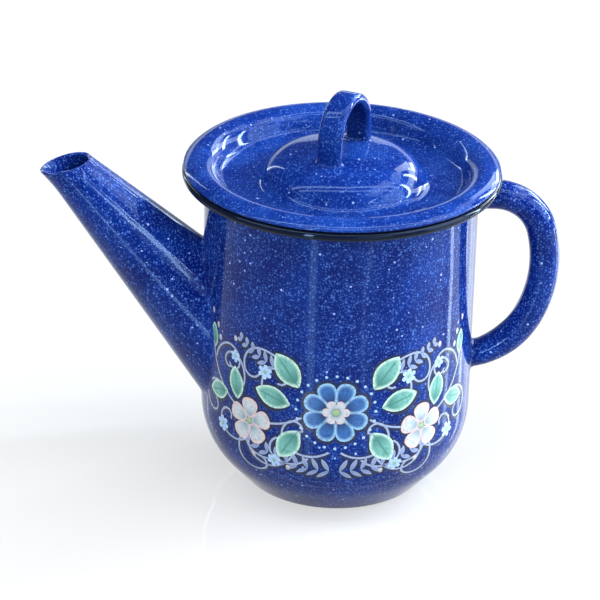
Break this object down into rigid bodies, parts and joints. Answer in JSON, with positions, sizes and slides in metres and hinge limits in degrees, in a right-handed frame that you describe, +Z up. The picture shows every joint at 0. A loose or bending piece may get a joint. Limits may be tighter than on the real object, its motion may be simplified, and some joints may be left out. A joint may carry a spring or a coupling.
{
  "type": "enamel tea kettle",
  "caption": "Tall round enamelled steel tea kettle with a straight cone spout, a tube loop handle and a loose sunken lid with a strap knob.",
  "frame": {"origin": "middle of the flat base, on the table", "axes": "+Z up along the pot's axis, +X toward the handle, -X toward the spout"},
  "size_m": [0.2095, 0.128, 0.1678],
  "materials": {
    "enamel_pot": "glossy speckled vitreous enamel, black at the rolled rim",
    "enamel_lid": "glossy speckled vitreous enamel"
  },
  "bodies": {
    "pot": {"pot_shell": "enamel_pot", "spout": "enamel_pot", "handle": "enamel_pot"},
    "lid": {"lid_shell": "enamel_lid", "lid_knob": "enamel_lid"}
  },
  "joints": [
    {"name": "lid_lift", "type": "slide", "parent": "pot", "child": "lid", "axis": [0, 0, 1], "range_m": [0, 0.06]}
  ]
}
